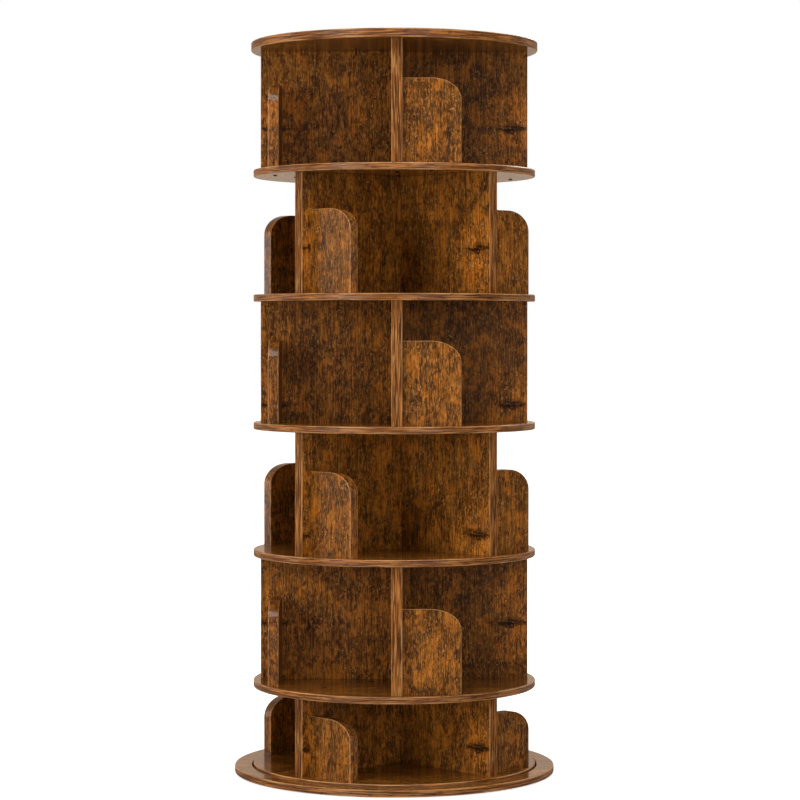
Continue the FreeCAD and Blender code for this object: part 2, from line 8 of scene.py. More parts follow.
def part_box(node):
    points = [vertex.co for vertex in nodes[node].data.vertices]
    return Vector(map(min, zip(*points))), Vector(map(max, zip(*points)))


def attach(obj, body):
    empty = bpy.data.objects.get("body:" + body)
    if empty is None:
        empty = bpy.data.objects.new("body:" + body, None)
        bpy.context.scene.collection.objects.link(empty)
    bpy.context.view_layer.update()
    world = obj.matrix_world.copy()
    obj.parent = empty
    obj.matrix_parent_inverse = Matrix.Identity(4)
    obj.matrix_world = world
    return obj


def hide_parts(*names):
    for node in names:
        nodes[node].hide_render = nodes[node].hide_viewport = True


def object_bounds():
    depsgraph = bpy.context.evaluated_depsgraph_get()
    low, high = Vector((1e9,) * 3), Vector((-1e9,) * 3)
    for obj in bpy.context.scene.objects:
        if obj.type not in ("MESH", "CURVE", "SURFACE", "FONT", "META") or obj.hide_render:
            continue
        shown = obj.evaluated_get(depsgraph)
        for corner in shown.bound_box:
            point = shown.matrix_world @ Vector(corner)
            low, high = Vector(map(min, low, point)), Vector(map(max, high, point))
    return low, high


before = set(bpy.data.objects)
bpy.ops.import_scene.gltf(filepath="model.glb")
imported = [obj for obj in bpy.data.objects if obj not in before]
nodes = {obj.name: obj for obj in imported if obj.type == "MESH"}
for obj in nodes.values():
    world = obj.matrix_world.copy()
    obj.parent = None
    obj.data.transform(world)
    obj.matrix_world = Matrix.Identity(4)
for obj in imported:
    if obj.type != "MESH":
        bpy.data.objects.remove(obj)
cad_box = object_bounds()


# Foot pads: eight discs die-cut from black EVA foam sheet and stuck under the base plate. They keep the
# steel off the floor and stop the base from sliding when the tower is turned.

MM = 0.001


def linear(code):
    """An sRGB hex value as a linear colour."""
    levels = [int(code[start:start + 2], 16) / 255 for start in (1, 3, 5)]
    curve = [level / 12.92 if level <= 0.04045 else ((level + 0.055) / 1.055) ** 2.4 for level in levels]
    return *curve, 1


def add(tree, kind, sockets=None, **settings):
    """Adds a node, sets its options, and fills its sockets with links or plain values."""
    node = tree.nodes.new(kind)
    for name, value in settings.items():
        setattr(node, name, value)
    for name, value in (sockets or {}).items():
        if isinstance(value, bpy.types.NodeSocket):
            tree.links.new(value, node.inputs[name])
        else:
            node.inputs[name].default_value = value
    return node


def new_finish(name, **looks):
    """A named material, its node tree and its shader, with the looks that are the same all over."""
    material = bpy.data.materials.new(name)
    material.use_nodes = True
    shader = material.node_tree.nodes["Principled BSDF"]
    for socket, value in looks.items():
        shader.inputs[socket.replace("_", " ")].default_value = value
    return material, material.node_tree, shader


def dress(material, *names):
    """Puts the material on CAD nodes."""
    for name in names:
        nodes[name].material_slots[0].material = material


def speckle(name, ground, tint, grit, depth, **looks):
    """A material with small variation in colour and height, at a grit and a depth in millimetres."""
    material, tree, shader = new_finish(name, **looks)
    place = add(tree, "ShaderNodeTexCoord").outputs["Object"]
    grain = add(tree, "ShaderNodeTexNoise", {"Vector": place, "Scale": 1 / (grit * MM), "Detail": 3.0})
    spread = {"Value": grain.outputs[0], "From Min": 0.35, "From Max": 0.65}
    amount = add(tree, "ShaderNodeMapRange", spread)
    colours = {0: amount.outputs[0], 6: linear(ground), 7: linear(tint)}
    colour = add(tree, "ShaderNodeMix", colours, data_type="RGBA")
    relief = add(tree, "ShaderNodeBump", {"Height": grain.outputs[0], "Distance": depth * MM})
    tree.links.new(colour.outputs[2], shader.inputs["Base Color"])
    tree.links.new(relief.outputs[0], shader.inputs["Normal"])
    return material


# EVA foam has a dull skin with open pores.
foam = speckle("eva_foam_sheet", "#1B1B1C", "#2C2C2D", grit=1.2, depth=0.3, Roughness=0.9)
dress(foam, "foot_pads")


# Base plate: a disc of steel sheet let into the underside of the base ring, punched and countersunk for its
# screws. It carries the bearing and is powder coated, which leaves a fine orange peel.

coated = speckle("powder_coated_steel", "#26241F", "#2F2C27", grit=1.6, depth=0.06, Roughness=0.5)
dress(coated, "base_plate")


# Base ring: a wide, low ring of particle board with a printed rustic wood paper on its faces and a streaky
# band round its rim. It is turned with rounded edges, which are drawn lighter: partly wear of the print,
# partly a painted highlight.

PRINT_LAYERS = (
    # cell width and length in millimetres, noise where the layer starts and is full, tint, strength
    (60, 90, 0.45, 0.58, "#47280D", 0.60),
    (30, 44, 0.50, 0.57, "#B0671C", 0.68),
    (22, 32, 0.53, 0.58, "#513519", 0.68),
    (14, 22, 0.55, 0.60, "#3A1F09", 0.64),
    (10, 15, 0.57, 0.62, "#A4581A", 0.50),
    (5, 10, 0.57, 0.62, "#341A06", 0.55),
    (4, 18, 0.56, 0.62, "#B9762A", 0.42),
    (1.5, 80, 0.49, 0.57, "#2A1404", 0.64),
    (1.9, 7, 0.55, 0.61, "#2A1404", 0.48),
    (1.6, 8, 0.56, 0.61, "#C48540", 0.38),
)
RIM_LAYERS = (
    (9, 60, 0.48, 0.60, "#4A2408", 0.60),
    (6, 80, 0.50, 0.58, "#A8641E", 0.65),
    (2.6, 90, 0.49, 0.57, "#351805", 0.70),
    (4, 16, 0.58, 0.62, "#2A1204", 0.60),
    (2.0, 60, 0.52, 0.60, "#C08B55", 0.45),
)
SPECK_REGION = 45
SPECKS = (
    # spacing in millimetres, distance in spacings where a speck starts and is full, tint, strength
    (10, 0.2, 0.1, "#1F0F03", 0.85),
    (8, 0.2, 0.12, "#CF9F66", 0.40),
)
PRINT_GROUND = "#7D4A14"
EDGE_GROUND = "#703E10"
WEAR_AND_HIGHLIGHT_TINT = "#D29A64"
GRAIN_DEPTH = 0.25
BAND_DULLNESS = 0.25
DISC_STRETCH = 1.8
DISC_SPECULAR = 0.25
DISC_ROUGHNESS = (0.1, 0.2)
# The upright share of the normal tells the rim from the faces, and where the arrises between them lie.
RIM_STARTS, RIM_FULL = 0.75, 0.6
RIM_ARRIS, RIM_ARRIS_SPREAD = 0.6, 0.35
RING_GRAIN_TURN = math.radians(20)


def layered(tree, place, ground, layers, stretch=1.0):
    """Streaks and clouds along Z over a ground colour, and the noise of the last layer."""
    colour = linear(ground)
    for width, length, start, full, tint, strength in layers:
        cells = (1 / (width * MM), 1 / (width * MM), 1 / (stretch * length * MM))
        scaled = add(tree, "ShaderNodeMapping", {"Vector": place, "Scale": cells})
        grown = {"Vector": scaled.outputs[0], "Scale": 1.0, "Detail": 4.0, "Distortion": 0.3}
        noise = add(tree, "ShaderNodeTexNoise", grown)
        spread = {"Value": noise.outputs[0], "From Min": start, "From Max": full, "To Max": strength}
        amount = add(tree, "ShaderNodeMapRange", spread)
        mixed = {0: amount.outputs[0], 6: colour, 7: linear(tint)}
        colour = add(tree, "ShaderNodeMix", mixed, data_type="RGBA").outputs[2]
    return colour, noise.outputs[0]


def specked(tree, place, colour):
    """Dark worm holes and small pale chips over the print, gathered in places."""
    region = {"Vector": place, "Scale": 1 / (SPECK_REGION * MM), "Detail": 1.0}
    region = add(tree, "ShaderNodeTexNoise", region)
    gathered = {"Value": region.outputs[0], "From Min": 0.44, "From Max": 0.58}
    gathered = add(tree, "ShaderNodeMapRange", gathered)
    for spacing, start, full, tint, strength in SPECKS:
        cells = add(tree, "ShaderNodeTexVoronoi", {"Vector": place, "Scale": 1 / (spacing * MM)})
        apart = cells.outputs["Distance"]
        spread = {"Value": apart, "From Min": start, "From Max": full, "To Max": strength}
        dots = add(tree, "ShaderNodeMapRange", spread)
        kept = {0: dots.outputs[0], 1: gathered.outputs[0]}
        kept = add(tree, "ShaderNodeMath", kept, operation="MULTIPLY")
        mixed = {0: kept.outputs[0], 6: colour, 7: linear(tint)}
        colour = add(tree, "ShaderNodeMix", mixed, data_type="RGBA").outputs[2]
    return colour


def board_surface(tree, shader, face, band, on_band, on_arris, grain, roughness):
    """Joins the print, the edge band and the lighter arris, which is partly wear and partly a painted
    highlight, and gives the paper its sheen and grain relief.
    """
    mixed = {0: on_band, 6: face, 7: band}
    colour = add(tree, "ShaderNodeMix", mixed, data_type="RGBA").outputs[2]
    # The arris is drawn lighter: partly wear, partly a painted highlight on the rounded edge.
    mixed = {0: on_arris, 6: colour, 7: linear(WEAR_AND_HIGHLIGHT_TINT)}
    colour = add(tree, "ShaderNodeMix", mixed, data_type="RGBA").outputs[2]
    low, high = roughness
    sheen = {"Value": grain, "From Min": 0.3, "From Max": 0.7, "To Min": low, "To Max": high}
    sheen = add(tree, "ShaderNodeMapRange", sheen)
    # The band is duller than the pressed faces.
    sheen = {0: on_band, 1: BAND_DULLNESS, 2: sheen.outputs[0]}
    sheen = add(tree, "ShaderNodeMath", sheen, operation="MULTIPLY_ADD")
    relief = add(tree, "ShaderNodeBump", {"Height": grain, "Strength": 0.5, "Distance": GRAIN_DEPTH * MM})
    tree.links.new(colour, shader.inputs["Base Color"])
    tree.links.new(sheen.outputs[0], shader.inputs["Roughness"])
    tree.links.new(relief.outputs[0], shader.inputs["Normal"])


def round_board(name, grain_turn):
    """The rustic board of a turned disc: grain across its faces, streaks of the band round its rim."""
    material, tree, shader = new_finish(name, Specular_IOR_Level=DISC_SPECULAR)
    coordinates = add(tree, "ShaderNodeTexCoord")
    place = coordinates.outputs["Object"]
    # The grain runs along the third axis, so that axis is laid down into the disc.
    laid = {"Vector": place, "Rotation": (0, math.radians(90), grain_turn)}
    along = add(tree, "ShaderNodeMapping", laid).outputs[0]
    face, grain = layered(tree, along, PRINT_GROUND, PRINT_LAYERS, DISC_STRETCH)
    face = specked(tree, along, face)
    spot = add(tree, "ShaderNodeSeparateXYZ", {0: place})
    bearing = {0: spot.outputs["Y"], 1: spot.outputs["X"]}
    bearing = add(tree, "ShaderNodeMath", bearing, operation="ARCTAN2")
    radius = nodes["shelf_1"].dimensions.x / 2
    girth = add(tree, "ShaderNodeMath", {0: bearing.outputs[0], 1: radius}, operation="MULTIPLY")
    rim = add(tree, "ShaderNodeCombineXYZ", {"X": spot.outputs["Z"], "Z": girth.outputs[0]})
    band, streak = layered(tree, rim.outputs[0], EDGE_GROUND, RIM_LAYERS)
    facing = add(tree, "ShaderNodeSeparateXYZ", {0: coordinates.outputs["Normal"]})
    level = add(tree, "ShaderNodeMath", {0: facing.outputs["Z"]}, operation="ABSOLUTE")
    on_band = {"Value": level.outputs[0], "From Min": RIM_STARTS, "From Max": RIM_FULL}
    on_band = add(tree, "ShaderNodeMapRange", on_band).outputs[0]
    slope = {0: level.outputs[0], 1: RIM_ARRIS, 2: RIM_ARRIS_SPREAD}
    slope = add(tree, "ShaderNodeMath", slope, operation="COMPARE")
    # A lighter streaky line along the arrises: partly wear, partly a painted highlight.
    wear_and_highlight = {"Value": streak, "From Min": 0.35, "From Max": 0.6, "To Max": 0.5}
    wear_and_highlight = add(tree, "ShaderNodeMapRange", wear_and_highlight)
    on_arris = {0: slope.outputs[0], 1: wear_and_highlight.outputs[0]}
    on_arris = add(tree, "ShaderNodeMath", on_arris, operation="MULTIPLY").outputs[0]
    board_surface(tree, shader, face, band, on_band, on_arris, grain, DISC_ROUGHNESS)
    return material


dress(round_board("rustic_board_ring", RING_GRAIN_TURN), "base_ring")


# Turntable bearing: two concentric rings of turned aluminium with a ball race between them, let into a
# channel under the bottom shelf. The balls are polished steel and a moulded nylon cage keeps them apart.

TOOL_MARK_SPACING = 0.8
turned_metal, tree, shader = new_finish("turned_aluminium", Roughness=0.32, Metallic=1.0)
spot = add(tree, "ShaderNodeSeparateXYZ", {0: add(tree, "ShaderNodeTexCoord").outputs["Object"]})
flat = add(tree, "ShaderNodeCombineXYZ", {"X": spot.outputs["X"], "Y": spot.outputs["Y"]})
radius = add(tree, "ShaderNodeVectorMath", {0: flat.outputs[0]}, operation="LENGTH")
# Tool marks are far finer than this on the real rings, and are drawn this far apart so that they show.
marks = {"W": radius.outputs["Value"], "Scale": 1 / (TOOL_MARK_SPACING * MM), "Detail": 2.0}
groove = add(tree, "ShaderNodeTexNoise", marks, noise_dimensions="1D")
colours = {0: groove.outputs[0], 6: linear("#B4B6B8"), 7: linear("#D6D7D8")}
colour = add(tree, "ShaderNodeMix", colours, data_type="RGBA")
relief = {"Height": groove.outputs[0], "Distance": 0.05 * MM, "Strength": 0.4}
relief = add(tree, "ShaderNodeBump", relief)
tree.links.new(colour.outputs[2], shader.inputs["Base Color"])
tree.links.new(relief.outputs[0], shader.inputs["Normal"])
dress(turned_metal, "bearing_outer_ring", "bearing_inner_ring")
# Polished balls mirror what is round them; the nylon is a pale, faintly cloudy plastic.
mirror = {"Roughness": 0.12, "Metallic": 1.0}
dress(speckle("polished_steel", "#C6C8CA", "#D2D4D6", grit=1.0, depth=0.002, **mirror), "bearing_balls")
nylon = speckle("moulded_nylon", "#D9D6CC", "#E4E1D8", grit=2.5, depth=0.02, Roughness=0.45)
dress(nylon, "bearing_cage")


# Round shelves and top board: five discs of the same printed board, a bottom one and a thicker, slightly
# wider top, cut from sheets with the grain of each tier turned half a quarter against the next.

SHELVES = ("top_board", "shelf_1", "shelf_2", "shelf_3", "shelf_4", "shelf_5", "bottom_shelf")
HALF_QUARTER = math.radians(45)
for number, name in enumerate(SHELVES):
    dress(round_board(f"rustic_board_{name}", number * HALF_QUARTER), name)


# Upright panels: four boards in every tier, butted together like the sails of a windmill and dowelled. Each
# is cut from the same print, with its grain upright, a dark knot and a banded edge at its tip.

TIERS = (1, 2, 3, 4, 5, 6)
SAILS = ("a", "b", "c", "d")
QUARTER = math.radians(90)
FULL_TURN = math.radians(360)
TIP_LAYERS = (
    (7, 60, 0.46, 0.60, "#552A0A", 0.75),
    (5, 90, 0.50, 0.60, "#A8662A", 0.60),
    (2.6, 70, 0.50, 0.58, "#331806", 0.75),
    (2.0, 40, 0.52, 0.60, "#C89458", 0.40),
)
UPRIGHT_SPECULAR = 0.1
UPRIGHT_ROUGHNESS = (0.3, 0.45)
# The share of the normal across the board tells its edge from its faces, and where the arris lies.
TIP_STARTS, TIP_FULL = 0.7, 0.5
TIP_ARRIS, TIP_ARRIS_SPREAD = 0.55, 0.4
# How far along the print, in metres, each panel is cut from the one before.
PANEL_DRIFT = 0.67
# In millimetres: how far out the knots lie, how high over the floor of each tier, and their sizes.
KNOT_REACH = 203
KNOT_HEIGHTS = (72, 76, 30, 34, 96, 45)
KNOT_HALF_LENGTH, KNOT_HALF_HEIGHT, KNOT_EYE = 42, 11, 3.6
# The patch round each knot, in millimetres, is drawn paler as painted light on the panel's outer end.
HALO_HALF_WIDTH, HALO_HALF_LENGTH = 60, 80
KNOT_HALO_PAINTED_LIGHT_GAIN = (1.45, 1.4, 1.35, 1)
KNOT_WARP = 11
KNOT_SWAY = (30 * MM, 0, 9 * MM)
EYE_HEART, EYE_RING, EYE_RING_SPREAD = 0.6, 0.85, 0.25


def floor_of(tier):
    """The upper face of the shelf that a tier stands on."""
    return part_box(SHELVES[tier])[1].z


def tier_turn(tier):
    """Every second tier is turned by half a quarter."""
    return HALF_QUARTER if tier % 2 == 0 else 0.0


def knotted(tree, place, colour, height):
    """A dark, broken, pointed knot across the grain near the tip, with a round eye on its lower edge."""
    warp = add(tree, "ShaderNodeTexNoise", {"Vector": place, "Scale": 1 / (KNOT_WARP * MM), "Detail": 3.0})
    sway = {0: warp.outputs["Color"], 1: (0.5, 0.5, 0.5)}
    sway = add(tree, "ShaderNodeVectorMath", sway, operation="SUBTRACT")
    amount = {0: sway.outputs[0], 1: KNOT_SWAY, 2: place}
    bent = add(tree, "ShaderNodeVectorMath", amount, operation="MULTIPLY_ADD").outputs[0]
    # The board round the knot is drawn paler: painted light that lifts the outer end of each panel.
    shape = (1 / (HALO_HALF_WIDTH * MM), 0, 1 / (HALO_HALF_LENGTH * MM))
    centre = (-KNOT_REACH / HALO_HALF_WIDTH, 0, -height / HALO_HALF_LENGTH)
    near = add(tree, "ShaderNodeMapping", {"Vector": bent, "Location": centre, "Scale": shape})
    apart = add(tree, "ShaderNodeVectorMath", {0: near.outputs[0]}, operation="LENGTH")
    pale = {"Value": apart.outputs["Value"], "From Min": 1.0, "From Max": 0.3}
    pale = add(tree, "ShaderNodeMapRange", pale)
    mixed = {0: pale.outputs[0], 6: colour, 7: KNOT_HALO_PAINTED_LIGHT_GAIN}
    colour = add(tree, "ShaderNodeMix", mixed, data_type="RGBA", blend_type="MULTIPLY").outputs[2]
    shape = (1 / (KNOT_HALF_LENGTH * MM), 0, 1 / (KNOT_HALF_HEIGHT * MM))
    centre = (-KNOT_REACH / KNOT_HALF_LENGTH, 0, -height / KNOT_HALF_HEIGHT)
    near = add(tree, "ShaderNodeMapping", {"Vector": bent, "Location": centre, "Scale": shape})
    apart = add(tree, "ShaderNodeVectorMath", {0: near.outputs[0]}, operation="ABSOLUTE")
    summed = {0: apart.outputs[0], 1: (1, 0, 1)}
    pointed = add(tree, "ShaderNodeVectorMath", summed, operation="DOT_PRODUCT")
    dark = {"Value": pointed.outputs["Value"], "From Min": 1.2, "From Max": 0.5, "To Max": 0.95}
    dark = add(tree, "ShaderNodeMapRange", dark)
    # Fibres that run round the knot break it into dashes.
    fibres = {"Vector": near.outputs[0], "Scale": 2.6, "Detail": 4.0, "Roughness": 0.7}
    fibres = add(tree, "ShaderNodeTexNoise", fibres)
    broken = {"Value": fibres.outputs[0], "From Min": 0.36, "From Max": 0.52}
    broken = add(tree, "ShaderNodeMapRange", broken)
    kept = {0: dark.outputs[0], 1: broken.outputs[0]}
    kept = add(tree, "ShaderNodeMath", kept, operation="MULTIPLY")
    mixed = {0: kept.outputs[0], 6: colour, 7: linear("#170A02")}
    colour = add(tree, "ShaderNodeMix", mixed, data_type="RGBA").outputs[2]
    centre = (-KNOT_REACH / KNOT_EYE, 0, -(height - KNOT_HALF_HEIGHT / 2) / KNOT_EYE)
    shape = (1 / (KNOT_EYE * MM), 0, 1 / (KNOT_EYE * MM))
    near = add(tree, "ShaderNodeMapping", {"Vector": place, "Location": centre, "Scale": shape})
    apart = add(tree, "ShaderNodeVectorMath", {0: near.outputs[0]}, operation="LENGTH")
    heart = add(tree, "ShaderNodeMath", {0: apart.outputs["Value"], 1: EYE_HEART}, operation="LESS_THAN")
    mixed = {0: heart.outputs[0], 6: colour, 7: linear("#6A3E18")}
    colour = add(tree, "ShaderNodeMix", mixed, data_type="RGBA").outputs[2]
    ring = {0: apart.outputs["Value"], 1: EYE_RING, 2: EYE_RING_SPREAD}
    ring = add(tree, "ShaderNodeMath", ring, operation="COMPARE")
    mixed = {0: ring.outputs[0], 6: colour, 7: linear("#0F0601")}
    return add(tree, "ShaderNodeMix", mixed, data_type="RGBA").outputs[2]


def upright_board(name, turn, spacing, foot, drift, thin_axis, band_layers, knot_height=None, lacquer=None):
    """The rustic board of uprights that repeat about the tower's axis, in the first one's frame."""
    looks = {"Specular_IOR_Level": UPRIGHT_SPECULAR, "Coat_Roughness": 0.2}
    material, tree, shader = new_finish(name, **looks)
    coordinates = add(tree, "ShaderNodeTexCoord")
    framed = {"Rotation": (0, 0, -turn), "Location": (0, 0, -foot)}
    place = add(tree, "ShaderNodeMapping", {"Vector": coordinates.outputs["Object"], **framed}).outputs[0]
    cut = {"Vector": place, "Location": (drift, drift, 2 * drift)}
    cut = add(tree, "ShaderNodeMapping", cut).outputs[0]
    face, grain = layered(tree, cut, PRINT_GROUND, PRINT_LAYERS)
    face = specked(tree, cut, face)
    if knot_height:
        face = knotted(tree, place, face, knot_height)
    band, streak = layered(tree, cut, EDGE_GROUND, band_layers)
    # Each board's normal is turned back to the first board of the node.
    spot = add(tree, "ShaderNodeSeparateXYZ", {0: place})
    bearing = {0: spot.outputs["Y"], 1: spot.outputs["X"]}
    bearing = add(tree, "ShaderNodeMath", bearing, operation="ARCTAN2")
    sail = add(tree, "ShaderNodeMath", {0: bearing.outputs[0], 1: spacing}, operation="SNAP")
    sail = add(tree, "ShaderNodeMath", {0: sail.outputs[0], 1: turn}, operation="ADD")
    turned = {"Vector": coordinates.outputs["Normal"], "Angle": sail.outputs[0]}
    turned = add(tree, "ShaderNodeVectorRotate", turned, rotation_type="Z_AXIS", invert=True)
    facing = add(tree, "ShaderNodeSeparateXYZ", {0: turned.outputs[0]})
    flat = add(tree, "ShaderNodeMath", {0: facing.outputs[thin_axis]}, operation="ABSOLUTE")
    on_band = {"Value": flat.outputs[0], "From Min": TIP_STARTS, "From Max": TIP_FULL}
    on_band = add(tree, "ShaderNodeMapRange", on_band).outputs[0]
    slope = {0: flat.outputs[0], 1: TIP_ARRIS, 2: TIP_ARRIS_SPREAD}
    slope = add(tree, "ShaderNodeMath", slope, operation="COMPARE")
    # A lighter streaky line along the arrises: partly wear, partly a painted highlight.
    wear_and_highlight = {"Value": streak, "From Min": 0.3, "From Max": 0.55, "To Max": 0.55}
    wear_and_highlight = add(tree, "ShaderNodeMapRange", wear_and_highlight)
    on_arris = {0: slope.outputs[0], 1: wear_and_highlight.outputs[0]}
    on_arris = add(tree, "ShaderNodeMath", on_arris, operation="MULTIPLY").outputs[0]
    board_surface(tree, shader, face, band, on_band, on_arris, grain, UPRIGHT_ROUGHNESS)
    if lacquer:
        coat = add(tree, "ShaderNodeMath", {0: on_band, 1: lacquer}, operation="MULTIPLY")
        tree.links.new(coat.outputs[0], shader.inputs["Coat Weight"])
    return material


for tier in TIERS:
    for number, sail in enumerate(SAILS):
        name = f"tier_{tier}_panel_{sail}"
        turn = tier_turn(tier) + number * QUARTER
        drift = (len(SAILS) * tier + number) * PANEL_DRIFT
        knot_height = KNOT_HEIGHTS[tier - 1]
        board = f"rustic_board_{name}"
        foot = floor_of(tier)
        dress(upright_board(board, turn, FULL_TURN, foot, drift, "Y", TIP_LAYERS, knot_height), name)


# Book stops: a low board with one rounded upper corner, dowelled to every panel near its tip and screwed
# from below, cut from the same print. The lacquered band round its edge catches the light at the corner.

BAND_LACQUER = 0.6
STOP_DRIFT = 0.83
for tier in TIERS:
    name = f"tier_{tier}_book_stops"
    turn = tier_turn(tier)
    drift = tier * STOP_DRIFT
    board = f"rustic_board_{name}"
    foot = floor_of(tier)
    finish = upright_board(board, turn, QUARTER, foot, drift, "X", PRINT_LAYERS, lacquer=BAND_LACQUER)
    dress(finish, name)


# Dowels: turned beech pins with chamfered ends, glued into the butt joints of the panels, between stops and
# panels, and under the top board.

beech, tree, shader = new_finish("turned_beech", Roughness=0.6)
place = add(tree, "ShaderNodeTexCoord").outputs["Object"]
BEECH_LAYERS = (
    (3, 40, 0.4, 0.65, "#B98F62", 0.8),
    # Beech shows short dark flecks.
    (0.9, 4, 0.56, 0.66, "#8A5E38", 0.7),
)
colour, fleck = layered(tree, place, "#D0A878", BEECH_LAYERS)
relief = add(tree, "ShaderNodeBump", {"Height": fleck, "Distance": 0.05 * MM, "Strength": 0.5})
tree.links.new(colour, shader.inputs["Base Color"])
tree.links.new(relief.outputs[0], shader.inputs["Normal"])
dress(beech, "panel_dowels", "stop_dowels", "top_board_dowels")


# Screws: countersunk furniture screws with a hexagon socket. Long black ones go up into panels and stops
# and down into the panels below; short zinc ones hold the base plate, the ring and the bearing.

HEX, SCREW_SIDES = 6, 12
# Sizes of the long screws in millimetres, and their spots along and across a panel.
SOCKET_RADIUS, SOCKET_DEPTH = 1.6, 2.4
SCREW_DIAMETER, SCREW_HEAD, SCREW_LENGTH = 4, 8, 42
RAISED_CROWN, FLAT_CROWN = 1.2, 0.0
PANEL_SCREW_SPOTS = ((60, 9), (170, 9))
STOP_SCREW_SPOTS = ((202, 66),)
# One more ring rounds the crown, in shares of the head's radius and the crown's height.
CROWN_WIDTH, CROWN_RISE = 0.75, 0.7
# The point, as a share of the shank's width.
POINT_WIDTH = 0.25


def socket_screw(crown):
    """A screw along Z, point upwards, with its head's rim at zero and a hexagon sunk in its crown."""
    shape = bmesh.new()
    shank, top = SCREW_DIAMETER / 2, SCREW_HEAD / 2
    before = None
    for sides, radius, height in (
        (HEX, SOCKET_RADIUS, SOCKET_DEPTH),
        (HEX, SOCKET_RADIUS, -crown),
        (SCREW_SIDES, CROWN_WIDTH * top, -CROWN_RISE * crown),
        (SCREW_SIDES, top, 0.0),
        (SCREW_SIDES, shank, top - shank),
        (SCREW_SIDES, shank, SCREW_LENGTH - shank),
        (SCREW_SIDES, POINT_WIDTH * shank, SCREW_LENGTH),
    ):
        where = Matrix.Translation((0, 0, height))
        made = bmesh.ops.create_circle(shape, radius=radius, segments=sides, matrix=where)
        loop = list({edge for vert in made["verts"] for edge in vert.link_edges})
        if before:
            bmesh.ops.bridge_loops(shape, edges=before + loop)
        else:
            bmesh.ops.contextual_create(shape, geom=loop)
        before = loop
    bmesh.ops.contextual_create(shape, geom=before)
    bmesh.ops.recalc_face_normals(shape, faces=shape.faces)
    bmesh.ops.scale(shape, vec=(MM,) * 3, verts=shape.verts)
    return shape


def screw_group(node, body, material, screw, places):
    """One piece that stands for a group of screws, with a copy of the screw at every place."""
    mesh = bpy.data.meshes.new(f"{node}_socketed")
    screw.to_mesh(mesh)
    group = bmesh.new()
    for place in places:
        kept = len(group.verts)
        group.from_mesh(mesh)
        group.verts.ensure_lookup_table()
        bmesh.ops.transform(group, matrix=place, verts=group.verts[kept:])
    group.to_mesh(mesh)
    mesh.materials.append(material)
    piece = bpy.data.objects.new(mesh.name, mesh)
    bpy.context.scene.collection.objects.link(piece)
    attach(piece, body)
    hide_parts(node)


def around(tier, spots, height, flip=False):
    """Places on the four sails of a tier, at spots given along and across a panel."""
    over = Matrix.Rotation(math.pi, 4, "X") if flip else Matrix.Identity(4)
    places = []
    for number in range(len(SAILS)):
        turn = Matrix.Rotation(tier_turn(tier) + number * QUARTER, 4, "Z")
        for along, across in spots:
            places.append(turn @ Matrix.Translation((along * MM, across * MM, height)) @ over)
    return places


# Black phosphate is dull and faintly uneven; the zinc plating is bright with a blue cast.
dull = {"Roughness": 0.9, "Specular_IOR_Level": 0.0}
black = speckle("black_phosphate_steel", "#0D0D0E", "#161617", grit=1.5, depth=0.02, **dull)
bright = {"Roughness": 0.35, "Metallic": 1.0}
zinc = speckle("zinc_plated_steel", "#A9AEB5", "#C3C7CC", grit=2.0, depth=0.01, **bright)
flat_screw = socket_screw(FLAT_CROWN)
raised_screw = socket_screw(RAISED_CROWN)
rising, stopping, falling = [], [], []
for tier in TIERS:
    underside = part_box(SHELVES[tier])[0].z
    rising += around(tier, PANEL_SCREW_SPOTS, underside)
    stopping += around(tier, STOP_SCREW_SPOTS, underside)
    if tier > TIERS[0]:
        falling += around(tier, PANEL_SCREW_SPOTS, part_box(SHELVES[tier - 1])[1].z, flip=True)
screw_group("panel_screws", "tower", black, raised_screw, rising)
screw_group("stop_screws", "tower", black, raised_screw, stopping)
screw_group("shelf_screws", "tower", black, flat_screw, falling)
dress(zinc, "base_screws", "turntable_screws")


# Studio: a plain pale floor, large soft lamps in front, at the left, behind and overhead, and a grey
# surround. Floor and surround show white to the camera, without more light on the object, and a warm
# room to the surfaces that mirror them.

FLOOR_RADIUS, FLOOR_SIDES = 30.0, 64
ROOM_TINT = "#FFE0C4"
SURROUND_LEVEL = 0.24
floor_shape = bmesh.new()
bmesh.ops.create_circle(floor_shape, cap_ends=True, radius=FLOOR_RADIUS, segments=FLOOR_SIDES)
floor_mesh = bpy.data.meshes.new("studio_floor")
floor_shape.to_mesh(floor_mesh)
floor = bpy.data.objects.new("studio_floor", floor_mesh)
bpy.context.scene.collection.objects.link(floor)
floor_finish, tree, shader = new_finish("pale_studio_floor", Roughness=0.9)
path = add(tree, "ShaderNodeLightPath")
colours = {0: path.outputs["Is Glossy Ray"], 6: linear("#D6D6D6"), 7: linear("#505050")}
colour = add(tree, "ShaderNodeMix", colours, data_type="RGBA")
tree.links.new(colour.outputs[2], shader.inputs["Base Color"])
place = add(tree, "ShaderNodeTexCoord").outputs["Object"]
reach = add(tree, "ShaderNodeVectorMath", {0: place}, operation="LENGTH")
glow = {"Value": reach.outputs["Value"], "From Min": 0.5, "From Max": 1.6, "To Min": 0.78, "To Max": 1.0}
glow = add(tree, "ShaderNodeMapRange", glow)
way = add(tree, "ShaderNodeSeparateXYZ", {0: place})
behind = {"Value": way.outputs["Y"], "From Min": -0.6, "From Max": 0.2, "To Max": 0.52}
behind = add(tree, "ShaderNodeMapRange", behind)
mirrored = {0: path.outputs["Is Glossy Ray"], 1: path.outputs["Is Transmission Ray"]}
mirrored = add(tree, "ShaderNodeMath", mirrored, operation="MAXIMUM")
colours = {0: mirrored.outputs[0], 6: linear("#FFFFFF"), 7: linear(ROOM_TINT)}
tint = add(tree, "ShaderNodeMix", colours, data_type="RGBA")
mirrored = {0: mirrored.outputs[0], 1: behind.outputs[0]}
mirrored = add(tree, "ShaderNodeMath", mirrored, operation="MULTIPLY")
seen = {0: path.outputs["Is Camera Ray"], 1: mirrored.outputs[0]}
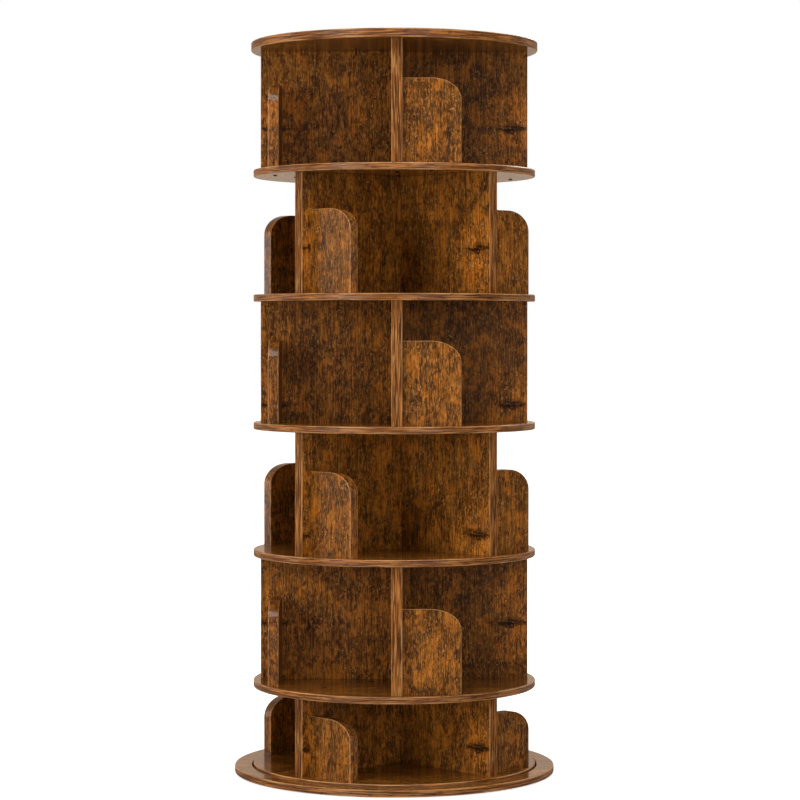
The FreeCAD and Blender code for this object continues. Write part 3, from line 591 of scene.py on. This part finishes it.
seen = add(tree, "ShaderNodeMath", seen, operation="MAXIMUM")
lift = add(tree, "ShaderNodeMath", {0: seen.outputs[0], 1: glow.outputs[0]}, operation="MULTIPLY")
tree.links.new(tint.outputs[2], shader.inputs["Emission Color"])
tree.links.new(lift.outputs[0], shader.inputs["Emission Strength"])
floor_mesh.materials.append(floor_finish)

world = bpy.data.worlds.new("studio_surround")
bpy.context.scene.world = world
world.use_nodes = True
tree = world.node_tree
# Reflections see a bright wall behind the object and a dim room on the camera's side.
path = add(tree, "ShaderNodeLightPath")
way = add(tree, "ShaderNodeSeparateXYZ", {0: add(tree, "ShaderNodeTexCoord").outputs["Generated"]})
behind = {"Value": way.outputs["Y"], "From Min": -0.4, "From Max": 0.2, "To Min": 0.12, "To Max": 0.72}
behind = add(tree, "ShaderNodeMapRange", behind)
mirrored = {0: path.outputs["Is Glossy Ray"], 1: path.outputs["Is Transmission Ray"]}
mirrored = add(tree, "ShaderNodeMath", mirrored, operation="MAXIMUM")
colours = {0: mirrored.outputs[0], 6: linear("#FFFFFF"), 7: linear(ROOM_TINT)}
tint = add(tree, "ShaderNodeMix", colours, data_type="RGBA")
level = {0: mirrored.outputs[0], 2: SURROUND_LEVEL, 3: behind.outputs[0]}
level = add(tree, "ShaderNodeMix", level, data_type="FLOAT")
level = {0: level.outputs[0], 1: path.outputs["Is Camera Ray"]}
level = add(tree, "ShaderNodeMath", level, operation="MAXIMUM")
tree.links.new(tint.outputs[2], tree.nodes["Background"].inputs["Color"])
tree.links.new(level.outputs[0], tree.nodes["Background"].inputs["Strength"])

TOWER_MIDDLE = Vector((0, 0, cad_box[1].z / 2))
for name, place, width, watts in (
    # places and widths in metres
    ("key_lamp", (-3.1, -3.7, 1.1), 2.6, 101),
    ("side_lamp", (-4.4, 0.3, 1.1), 2.0, 22),
    ("fill_lamp", (1.9, -4.5, 1.0), 2.6, 56),
    ("back_lamp", (0.6, 4.4, 3.4), 2.6, 70),
    ("top_lamp", (0.0, -1.6, 3.7), 3.0, 105),
):
    lamp_data = bpy.data.lights.new(name, "AREA")
    lamp_data.shape = "DISK"
    lamp_data.size = width
    lamp_data.energy = watts
    lamp = bpy.data.objects.new(name, lamp_data)
    lamp.location = place
    lamp.rotation_euler = (TOWER_MIDDLE - Vector(place)).to_track_quat("-Z", "Y").to_euler()
    bpy.context.scene.collection.objects.link(lamp)


# Camera: level, four and a half metres away and a touch to the right, with a long lens. The photograph's
# frame lies lower than the lens axis, so the shift moves the view down and slightly to the right.

IMAGE_WIDTH = 800
FOCAL_PIXELS = 2627
HORIZON_ROW = 328
AXIS_COLUMN = 394.3
CAMERA_DISTANCE = 4.542
CAMERA_HEIGHT = 0.765
CAMERA_BEARING = math.radians(1.2)
camera_data = bpy.data.cameras.new("photo_camera")
camera_data.lens = camera_data.sensor_width * FOCAL_PIXELS / IMAGE_WIDTH
camera_data.shift_x = (IMAGE_WIDTH / 2 - AXIS_COLUMN) / IMAGE_WIDTH
camera_data.shift_y = (HORIZON_ROW - IMAGE_WIDTH / 2) / IMAGE_WIDTH
camera = bpy.data.objects.new("photo_camera", camera_data)
out = CAMERA_DISTANCE * Vector((math.sin(CAMERA_BEARING), -math.cos(CAMERA_BEARING), 0))
camera.location = out + Vector((0, 0, CAMERA_HEIGHT))
camera.rotation_euler = (QUARTER, 0, CAMERA_BEARING)
bpy.context.scene.collection.objects.link(camera)
bpy.context.scene.camera = camera
bpy.context.scene.view_settings.view_transform = "Standard"
